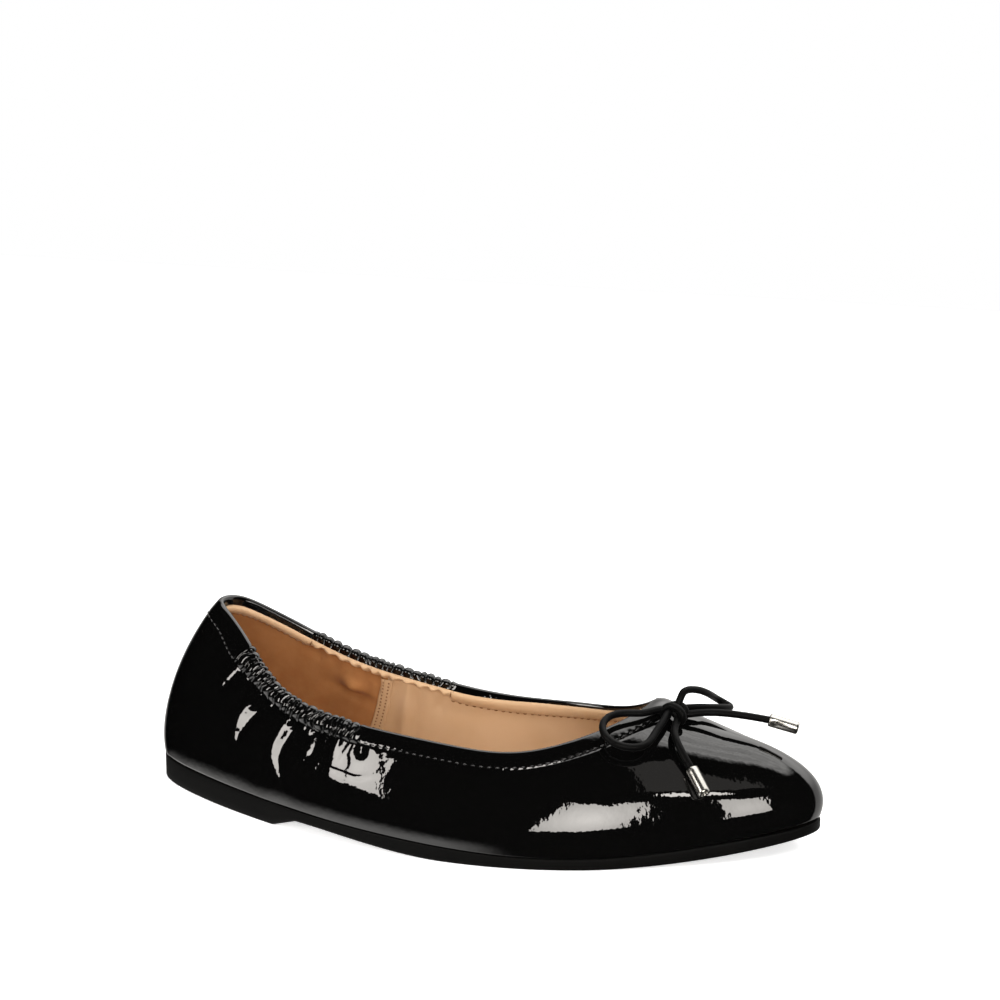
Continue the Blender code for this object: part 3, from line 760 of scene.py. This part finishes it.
def stitchMesh(name, middles, along, up, length, radius, material, slot):
    sides, rings = stitchBar["sides"], stitchBar["rings"]
    angle = np.linspace(0, 2 * np.pi, sides, endpoint=False)[None, :, None]
    t = np.linspace(-1, 1, rings)
    thickness = radius * np.sqrt(np.clip(1 - np.abs(t) ** 3, stitchBar["blunt"], None))
    arch = stitchBar["arch"] * length * (1 - t ** 2) - stitchBar["sink"] * length
    points, faces = [], []
    for middle, direction, lift in zip(middles, along, up):
        side = unit(np.cross(direction, lift))
        line = middle + direction * (t * length / 2)[:, None] + lift * arch[:, None]
        ring = (np.cos(angle) * side + np.sin(angle) * lift) * thickness[:, None, None]
        faces.append(gridFaces(gridIndex(ring) + len(points) * sides * rings, closedRound=True)[:, ::-1])
        points.append((line[:, None] + ring).reshape(-1, 3))
    addPiece(name, np.vstack(points), np.vstack(faces), material, slot)


stops = np.arange(stitching["start"], loopLength - stitching["start"], stitching["pitch"])
stopIndex = np.round(stops / loopLength * len(loopPoints)).astype(int) % len(loopPoints)
plainStops = stopIndex[gathered[stopIndex] < stitching["plain"]]
middles, up = onLast(loopPoints[plainStops] - loopUp[plainStops] * (hem[plainStops] - stitching["fromHem"]),
                     stitching["proud"])
stitchMesh("casingStitches", middles, loopTangent[plainStops], up, stitching["length"], stitching["radius"],
           materials["thread"], "upper")
row = stitching["facingRow"]
stitchMesh("facingStitches", facingPoints[plainStops, row], loopTangent[plainStops], -laidNormal[plainStops, row],
           stitching["length"] * stitching["facingLength"], stitching["radius"], materials["tanThread"], "insole")
print("stitches made:", len(plainStops))

# Side seams of the lining: a tape over each with two rows of needle holes. The lateral one is out of the photo's
# sight and is taken to match.
seamTape = {"top": 6.5, "bottom": 36.0, "step": 0.17, "columns": 31, "width": 5.0, "thick": 0.4, "proud": 0.25,
            "edge": 0.5, "edgeDrop": 0.6, "row": 0.95, "hole": 1.55, "firstHole": 1.0, "lastHole": 1.0,
            "holeRadius": 0.42, "holeCore": 0.1, "holeDepth": 0.4, "stitchLength": 0.75,
            "stitchRadius": 0.34, "stitchProud": 0.42}


def besideSeam(at, sign, down, across):  # points beside a seam: distances below the topline and toward the heel
    toHeel = across[None, :, None] + seam["slant"] * (down - seam["slantFrom"])[:, None, None]
    return onLast(loopPoints[at] - loopUp[at] * down[:, None, None] - sign * loopTangent[at] * toHeel)


down = np.arange(seamTape["top"], seamTape["bottom"], seamTape["step"])
halfWidth, pitch, firstHole = seamTape["width"] / 2, seamTape["hole"], seamTape["top"] + seamTape["firstHole"]
across = np.linspace(-halfWidth, halfWidth, seamTape["columns"])
edgeDrop = seamTape["edgeDrop"] * smoothStep(np.abs(across), halfWidth - seamTape["edge"], halfWidth)
holeDown = np.abs((down - firstHole) % pitch - pitch / 2)
holeAway = np.hypot(np.abs(np.abs(across) - seamTape["row"])[None, :], holeDown[:, None])
hole = seamTape["holeDepth"] * (1 - smoothStep(holeAway, seamTape["holeCore"], seamTape["holeRadius"]))
holeStops = np.arange(firstHole + pitch / 2, seamTape["bottom"] - seamTape["lastHole"], pitch)
for name, sign in (("Medial", -1), ("Lateral", 1)):
    at = int(np.argmin(np.abs(loopArc - sign * seam["arc"])))
    laid, normal = besideSeam(at, sign, down, across)
    inward = liningInward(laid)[0] + seamTape["proud"] + seamTape["thick"] - edgeDrop[None, :] - hole
    tapeIndex = gridIndex(laid)[::-1] if sign > 0 else gridIndex(laid)
    addPiece("seamTape" + name, laid - normal * inward[..., None], gridFaces(tapeIndex), materials["vampLining"],
             "insole")
    laid, normal = besideSeam(at, sign, holeStops, np.array([-seamTape["row"], seamTape["row"]]))
    inward = liningInward(laid)[0] + seamTape["stitchProud"]
    middles, normal = (laid - normal * inward[..., None]).reshape(-1, 3), normal.reshape(-1, 3)
    stitchMesh("tapeStitches" + name, middles, np.tile(-loopUp[at], (len(middles), 1)), -normal,
               seamTape["stitchLength"], seamTape["stitchRadius"], materials["tanThread"], "insole")

# Thread ends where the far gathers start and stop
tacks = {"row": 4, "length": 3.0, "radius": 0.2}
tackIndex = [int(np.argmin(np.abs(loopArc + gathers["medial"][k]))) for k in ("start", "stop")]
stitchMesh("gatherTacks", facingPoints[tackIndex, tacks["row"]], loopUp[tackIndex],
           -laidNormal[tackIndex, tacks["row"]], tacks["length"], tacks["radius"], materials["tanThread"], "insole")
print("side seams made")


# Tubes for the cord: rings along a smooth line, with a cap at each end
def tube(line, radius, sides=20):
    tangent = unit(np.gradient(line, axis=0))
    angle = np.linspace(0, 2 * np.pi, sides, endpoint=False)[:, None]
    across = np.cross(tangent[0], [0.0, 0.0, 1.0])
    if np.linalg.norm(across) < 0.1:
        across = np.cross(tangent[0], [0.0, 1.0, 0.0])
    rings = []
    for place, along in zip(line, tangent):
        across = unit(across - along * (across @ along))
        rings.append(place + radius * (np.cos(angle) * across + np.sin(angle) * np.cross(along, across)))
    ringIndex = gridIndex(np.array(rings))
    caps = [ringIndex[0][::-1].tolist(), ringIndex[-1].tolist()]
    return np.vstack(rings), gridFaces(ringIndex, closedRound=True)[:, ::-1].tolist() + caps


def smoothLine(route, step=0.25):
    run = runAlong(np.array(route, float))
    return smoothCurve(run, route)(np.linspace(0, run[-1], int(run[-1] / step)))


# Cord bow: the routes are those of the CAD, measured from the middle of the knot, joined through the knot
bow = {
    "knot": (192.5, -3.0, 45.2), "diameter": 2.4, "tipLength": 9.8, "tipDiameter": 4.2, "tipGap": 0.3,
    "tipOverlap": 0.5, "tipSides": 40,
    "near": ((-1.2, -0.6, 0.6), (-4.5, -2.8, 1.1), (-8.3, -6.3, 0.6), (-14.0, -9.8, 0.8), (-18.3, -14.5, 0.2),
             (-18.3, -19.5, -1.8), (-14.5, -22.8, -4.4), (-9.0, -22.3, -6.0), (-4.3, -18.7, -5.9),
             (-2.9, -12.5, -3.7), (-1.8, -5.8, -0.6), (-0.6, -2.2, 0.4), (0.9, -2.2, -0.6), (1.6, -5.0, -2.5),
             (3.3, -10.5, -4.9), (5.8, -13.1, -7.6), (10.5, -15.5, -13.2)),
    "far": ((0.2, 0.3, 1.6), (0.9, 1.5, 4.1), (1.5, 2.9, 5.9), (3.4, 6.0, 6.2), (7.0, 14.0, 2.6),
            (9.7, 20.6, -1.8), (12.0, 20.6, -2.9), (11.6, 16.6, -2.2), (8.1, 11.1, -0.9), (2.6, 4.9, 0.2),
            (0.9, 2.0, 0.0), (2.2, 0.9, -0.5), (5.4, 1.9, -0.5), (10.2, 4.6, -0.4), (16.4, 6.1, -0.5),
            (28.9, 9.0, -1.95)),
    "nearAim": (16.0, -19.9, -18.7), "farAim": (36.9, 10.9, -4.1),
    "wraps": (
        ((-3.4, -1.6, -1.8), (-3.6, -2.0, 0.6), (-1.9, -2.2, 2.3), (0.4, -2.6, 2.5), (2.5, -3.0, 1.4),
         (3.3, -2.9, -0.7), (2.6, -2.2, -2.4)),
        ((-2.8, 0.9, -1.6), (-2.6, 1.0, 0.9), (-0.4, 0.9, 2.2), (2.0, 0.9, 1.7), (3.0, 0.9, -0.4),
         (2.4, 0.7, -2.2)),
    ),
    "crimp": {"depth": 0.35, "start": 1.0, "stop": 3.0, "sharp": 0.4, "outside": 1.8},
}
knotPlace = np.array(bow["knot"])
cordPieces = {}
for name in ("near", "far"):
    line = smoothLine(bow[name]) + knotPlace
    length = runAlong(line)[-1]
    piece = addPiece(name + "Cord", *tube(line, bow["diameter"] / 2), materials["cord"], "cord",
                     ("bow_loop_" + name, "bow_end_" + name))
    cordPieces[name] = (piece, line, length)
    print("%s cord %.1f mm" % (name, length))

knotPoints, knotFaces = [], []
for route in bow["wraps"]:
    tubePoints, tubeFaces = tube(smoothLine(route) + knotPlace, bow["diameter"] / 2)
    start = sum(len(p) for p in knotPoints)
    knotPoints.append(tubePoints)
    knotFaces += [[i + start for i in face] for face in tubeFaces]
bowKnot = addPiece("bowKnot", np.vstack(knotPoints), knotFaces, materials["cord"], "cord", ("bow_knot",))


# Cord tips: plated tubes with a rolled end, the far one with crimp marks
def tipMesh(name, start, aim, crimped, replaced):
    start, aim, crimp = np.array(start), np.array(aim), bow["crimp"]
    along = unit(aim - start)
    side = unit(np.cross(along, [0.0, 0.0, 1.0]))
    other = np.cross(along, side)
    radius, length = bow["tipDiameter"] / 2, bow["tipLength"]
    # distance along the tip and radius, from inside the lip over the wall to inside the rolled end
    profile = [(1.2, 1.52), (0.3, 1.55), (0.0, 1.75), (0.12, 2.0), (0.5, radius), (1.6, radius), (2.6, radius),
               (3.2, radius), (length - 0.9, radius), (length - 0.25, radius - 0.06), (length, radius - 0.38),
               (length - 0.05, 1.25), (length - 0.5, 1.05), (length - 2.2, 1.0), (length - 2.2, 0.02)]
    angle = np.linspace(0, 2 * np.pi, bow["tipSides"], endpoint=False)[:, None]
    marks = crimp["depth"] * hump(np.cos(angle * 2), 1, crimp["sharp"])
    rings = []
    for distance, ring in profile:
        if crimped and crimp["start"] < distance < crimp["stop"] and ring > crimp["outside"]:
            ring = ring - marks
        rings.append(start + along * (bow["tipGap"] + distance - bow["tipOverlap"])
                     + np.cos(angle) * ring * side + np.sin(angle) * ring * other)
    points = np.array(rings) + knotPlace
    return addPiece(name, points, gridFaces(gridIndex(points), closedRound=True)[:, ::-1], materials["plate"], "tip",
                    (replaced,))


tips = {"near": tipMesh("tipNear", bow["near"][-1], bow["nearAim"], False, "tip_near"),
        "far": tipMesh("tipFar", bow["far"][-1], bow["farAim"], True, "tip_far")}
for name, tip in tips.items():
    piece, line, length = cordPieces[name]
print("bow made")

# Outsole: moulded unit with a rounded wall, on the CAD's outline
sole = {
    "gap": 0.25, "toeGap": 0.8, "toeRun": (205, 238), "breastStart": 62.5, "breastRun": 10.0, "archLift": 3.6,
    "treadStart": 130.0, "treadEnd": 170.0, "toeSpring": 8.4, "around": 640, "samples": 4000,
    # from the inner edge of the top, over the lip, down the wall and under the tread: inset, share of height, offset
    "wall": ((9.0, 1.0, 0.0), (2.4, 1.0, 0.0), (1.0, 1.0, 0.0), (0.35, 1.0, -0.05), (0.05, 1.0, -0.3),
             (0.0, 1.0, -0.7), (0.0, 0.66, 0.0), (0.0, 0.33, 0.0), (0.0, 0.0, 0.75), (0.08, 0.0, 0.4),
             (0.3, 0.0, 0.12), (0.7, 0.0, 0.0), (2.4, 0.0, 0.0), (9.0, 0.0, 0.0)),
}


def bottomHeight(x):
    breast = np.clip((x - sole["breastStart"]) / sole["breastRun"], 0, 1)
    archStart = sole["breastStart"] + sole["breastRun"]
    spring = np.clip((x - sole["treadEnd"]) / (rowLength - sole["treadEnd"]), 0, None)
    arch = 1 - smoothStep(x, archStart, sole["treadStart"])
    return sole["archLift"] * breast * arch + sole["toeSpring"] * spring**2


around = sole["around"]
soleTurn = np.linspace(0, fullTurn, sole["samples"])
soleRun = runAlong(outline(soleTurn))
soleTurn = np.interp(np.linspace(0, soleRun[-1], around, endpoint=False), soleRun, soleTurn)
edge, out = outline(soleTurn), outward(soleTurn)
top = featherHeight(edge[:, 0]) - sole["gap"] - sole["toeGap"] * smoothStep(edge[:, 0], *sole["toeRun"])
low = bottomHeight(edge[:, 0])
solePoints = np.stack([np.column_stack([edge - out * inset, low + (top - low) * share + offset])
                       for inset, share, offset in sole["wall"]], axis=1)
soleIndex = gridIndex(solePoints)
soleFaces = gridFaces(soleIndex, closedLong=True)[:, ::-1].tolist()
# top and tread close across the shoe between the two sides of the inner rings
for column, flip in ((0, False), (-1, True)):
    ring = soleIndex[:, column].tolist()
    for i in range(around // 2):
        corners = (ring[i], ring[i + 1], ring[(-i - 1) % around], ring[-i % around])
        face = [corner for k, corner in enumerate(corners) if corner not in corners[:k]]
        if len(face) > 2:
            soleFaces.append(face[::-1] if flip else face)
addPiece("rubberSole", solePoints, soleFaces, materials["rubber"], "outsole", ("outsole",))
print("sole made")

# Footbed: a dished tan sock over the sole, turned up a little where it meets the lining
footbed = {"inset": 1.3, "thick": 2.6, "edgeRise": 1.3, "along": 220, "across": 41, "ends": (0.02, 0.99),
           "uneven": 0.15, "unevenSize": 45.0, "unevenSeed": 21}
bedTurn = tipRow * (1 - np.cos(np.linspace(*footbed["ends"], footbed["along"]) * math.pi)) / 2
lateralEdge, medialEdge = (outline(turn) - outward(turn) * footbed["inset"] for turn in (bedTurn, fullTurn - bedTurn))
s = np.linspace(0, 1, footbed["across"])[None, :, None]
bedPlan = lateralEdge[:, None] * (1 - s) + medialEdge[:, None] * s
bedWaves = waves(np.dstack([bedPlan, 0 * bedPlan[..., :1]]), footbed["unevenSize"], footbed["unevenSeed"])
bedHeight = (featherHeight(bedPlan[..., 0]) + footbed["thick"] + footbed["edgeRise"] * np.abs(2 * s[..., 0] - 1) ** 4
             + footbed["uneven"] * bedWaves)
bedPoints = np.dstack([bedPlan, bedHeight[..., None]])
addPiece("footbed", bedPoints, gridFaces(gridIndex(bedPoints))[:, ::-1], materials["vampLining"], "insole", ("insole",))
print("footbed made")

# Stage: a white floor, and round it a studio that only mirror images show: a bright sweep behind the shoe, a ceiling
# cloth and lit ground toward the heel
stage = {
    "floor": 1.2, "ambient": 0.5, "sweepFacing": (0.15, 1.0, 0.0),
    # folds of the ceiling cloth, drawn out along the shoe
    "cloth": {"scale": (4.0, 16.0, 10.0), "turn": (0.0, 0.0, 0.35), "noise": 1.6, "tone": (0.78, 1.25)},
    # bands of light: the part of the direction that counts, where the band eases in, and its strength there
    "bands": {
        "behind": ("facing", (0.37, 0.47), (0.0, 1.0)),
        "brighter": ("Z", (0.2, 0.7), (1.1, 3.0)),
        "toeward": ("X", (-0.4, -0.05), (0.4, 1.0)),
        "ceiling": ("Z", (0.78, 0.88), (0.0, 3.2)),
        "rearward": ("Y", (-0.16, -0.04), (0.0, 1.0)),
        "under": ("Z", (-0.37, -0.56), (0.0, 1.7)),
        "heelward": ("X", (0.05, -0.35), (0.0, 1.0)),
    },
    "joins": (
        ("glow", "MULTIPLY", "behind", "brighter"), ("sweep", "MULTIPLY", "glow", "toeward"),
        ("overhead", "MULTIPLY", "ceiling", "rearward"), ("above", "MULTIPLY", "overhead", "folds"),
        ("ground", "MULTIPLY", "under", "heelward"),
        ("upper", "MAXIMUM", "sweep", "above"), ("seen", "MAXIMUM", "upper", "ground"),
    ),
}


def addStagePiece(name, points, faces, material):
    mesh = bpy.data.meshes.new(name)
    mesh.from_pydata(points, [], faces)
    mesh.materials.append(material)
    piece = linkObject(name, mesh)
    return piece


# White paper sweep: lit from below as well, as on a light table. The eye sees plain white with a faint soft shadow.
floorPaper = startMaterial("white paper sweep", {
    "Base Color": linear("#f6f8fb"), "Roughness": 0.9, "Emission Color": linear("#ffffff"),
    "Emission Strength": 0.6})[0]
half = stage["floor"]
paleFloor = addStagePiece("paleFloor", [(-half, -half, 0), (half, -half, 0), (half, half, 0), (-half, half, 0)],
                          [(0, 1, 2, 3)], floorPaper)
paleFloor.visible_glossy = False  # the lacquer sees the studio's light and dark instead

world = bpy.data.worlds.new("studio")
world.use_nodes = True
bpy.context.scene.world = world
tree = world.node_tree
tree.nodes.clear()
direction = addNode(tree, "ShaderNodeTexCoord").outputs["Generated"]
parts = addNode(tree, "ShaderNodeSeparateXYZ", None, {"Vector": direction})
light = {axis: parts.outputs[axis] for axis in "XYZ"}
light["facing"] = addNode(tree, "ShaderNodeVectorMath", {1: stage["sweepFacing"]}, {0: direction},
                          operation="DOT_PRODUCT").outputs["Value"]
for name, (axis, (start, stop), (low, high)) in stage["bands"].items():
    band = addNode(tree, "ShaderNodeMapRange", {"From Min": start, "From Max": stop, "To Min": low, "To Max": high},
                   {"Value": light[axis]}, interpolation_type="SMOOTHSTEP")
    light[name] = band.outputs["Result"]
cloth = stage["cloth"]
stretched = addNode(tree, "ShaderNodeMapping", {"Scale": cloth["scale"], "Rotation": cloth["turn"]},
                    {"Vector": direction})
clothFolds = addNode(tree, "ShaderNodeTexNoise", {"Scale": cloth["noise"], "Detail": 3.0},
                     {"Vector": stretched.outputs["Vector"]})
low, high = cloth["tone"]
foldTone = addNode(tree, "ShaderNodeMapRange", {"From Min": 0.35, "From Max": 0.65, "To Min": low, "To Max": high},
                   {"Value": clothFolds.outputs["Fac"]})
light["folds"] = foldTone.outputs["Result"]
for name, operation, first, second in stage["joins"]:
    joined = addNode(tree, "ShaderNodeMath", None, {0: light[first], 1: light[second]}, operation=operation)
    light[name] = joined.outputs["Value"]
mirrored = addNode(tree, "ShaderNodeBackground", {"Color": linear("#fffdfa")}, {"Strength": light["seen"]})
plain = addNode(tree, "ShaderNodeBackground", {"Color": linear("#ffffff"), "Strength": stage["ambient"]})
whiteBack = addNode(tree, "ShaderNodeBackground", {"Color": linear("#ffffff"), "Strength": 1.0})
path = addNode(tree, "ShaderNodeLightPath")
lit = addNode(tree, "ShaderNodeMixShader", None, {0: path.outputs["Is Glossy Ray"], 1: plain.outputs["Background"],
                                                  2: mirrored.outputs["Background"]})
shown = addNode(tree, "ShaderNodeMixShader", None, {0: path.outputs["Is Camera Ray"], 1: lit.outputs["Shader"],
                                                    2: whiteBack.outputs["Background"]})
addNode(tree, "ShaderNodeOutputWorld", None, {"Surface": shown.outputs["Shader"]})

# Soft boxes: glowing cloth panels, brighter in the middle, with their corners as (azimuth, elevation) in degrees seen
# from the shoe. Azimuth runs from -Y toward +X. The camera does not see them, but the lacquer does.
softBoxes = {
    "front": {"corners": ((10.8, 0.5), (32.3, 4.0), (32.6, 26.5), (19.5, 34.0)), "glow": 13.5, "edge": 0.6},
    "right": {"corners": ((41.0, -3.0), (48.6, -3.0), (45.2, 23.0), (38.5, 26.0)), "glow": 10.5, "edge": 0.8},
    "left": {"corners": ((-43.5, 4.0), (-29.8, 4.0), (-29.8, 36.0), (-43.5, 36.0)), "glow": 12.0, "edge": 0.8},
    "strip": {"corners": ((35.4, 32.2), (42.0, 32.2), (42.0, 35.2), (35.4, 35.2)), "glow": 14.0, "edge": 1.0},
    "panel": {"corners": ((32.5, 37.5), (47.5, 37.5), (47.5, 63.5), (32.5, 63.5)), "glow": 0.45, "edge": 1.0},
}
boxDistance, boxSteps = 2.0, 9
aimPoint = np.array([0.06, -0.02, 0.03])


def boxPoint(azimuth, elevation):
    azimuth, elevation = math.radians(azimuth), math.radians(elevation)
    return aimPoint + boxDistance * np.array([math.sin(azimuth) * math.cos(elevation),
                                              -math.cos(azimuth) * math.cos(elevation), math.sin(elevation)])


for name, box in softBoxes.items():
    corners = np.array(box["corners"])
    u = np.linspace(0, 1, boxSteps)
    low, high = (corners[a] + (corners[b] - corners[a]) * u[:, None] for a, b in ((0, 1), (3, 2)))
    grid = low[:, None] + (high - low)[:, None] * u[None, :, None]
    cloth = bpy.data.materials.new(name + " soft box cloth")
    cloth.use_nodes = True
    tree = cloth.node_tree
    tree.nodes.clear()
    place = addNode(tree, "ShaderNodeTexCoord").outputs["UV"]
    centred = addNode(tree, "ShaderNodeMapping", {"Location": (-0.65, -0.65, 0.0), "Scale": (1.3, 1.3, 1.0)},
                      {"Vector": place})
    falloff = addNode(tree, "ShaderNodeTexGradient", None, {"Vector": centred.outputs["Vector"]},
                      gradient_type="SPHERICAL")
    glow = addNode(tree, "ShaderNodeMapRange", {"From Min": 0.1, "From Max": 0.9, "To Min": box["edge"] * box["glow"],
                                                "To Max": box["glow"]}, {"Value": falloff.outputs["Fac"]})
    emission = addNode(tree, "ShaderNodeEmission", {"Color": linear("#fffaf4")}, {"Strength": glow.outputs["Result"]})
    addNode(tree, "ShaderNodeOutputMaterial", None, {"Surface": emission.outputs["Emission"]})
    panel = addStagePiece(name + "SoftBox", [tuple(boxPoint(*corner)) for corner in grid.reshape(-1, 2)],
                          gridFaces(gridIndex(grid)).tolist(), cloth)
    panel.visible_camera = False
    across = panel.data.uv_layers.new(name="across")
    for corner in panel.data.loops:
        across.data[corner.index].uv = u[corner.vertex_index // boxSteps], u[corner.vertex_index % boxSteps]

# Fills for the lining and the floor, from behind and from the toe; the lacquer sees the ceiling in their place
fills = {
    "backFill": {"azimuth": 150.0, "elevation": 61.0, "wide": 2.3, "high": 0.85, "watts": 18.0},
    "toeFill": {"azimuth": 48.0, "elevation": 46.0, "wide": 0.6, "high": 0.4, "watts": 26.0},
}
for name, fill in fills.items():
    area = bpy.data.lights.new(name, "AREA")
    area.color = linear("#fffaf4")[:3]
    area.shape = "RECTANGLE"
    area.size, area.size_y, area.energy = fill["wide"], fill["high"], fill["watts"]
    lamp = linkObject(name, area)
    lamp.location = boxPoint(fill["azimuth"], fill["elevation"])
    lamp.rotation_euler = Vector(lamp.location - Vector(aimPoint)).to_track_quat("Z", "Y").to_euler()
    lamp.visible_camera = False
    lamp.visible_glossy = False
print("stage and lights set")
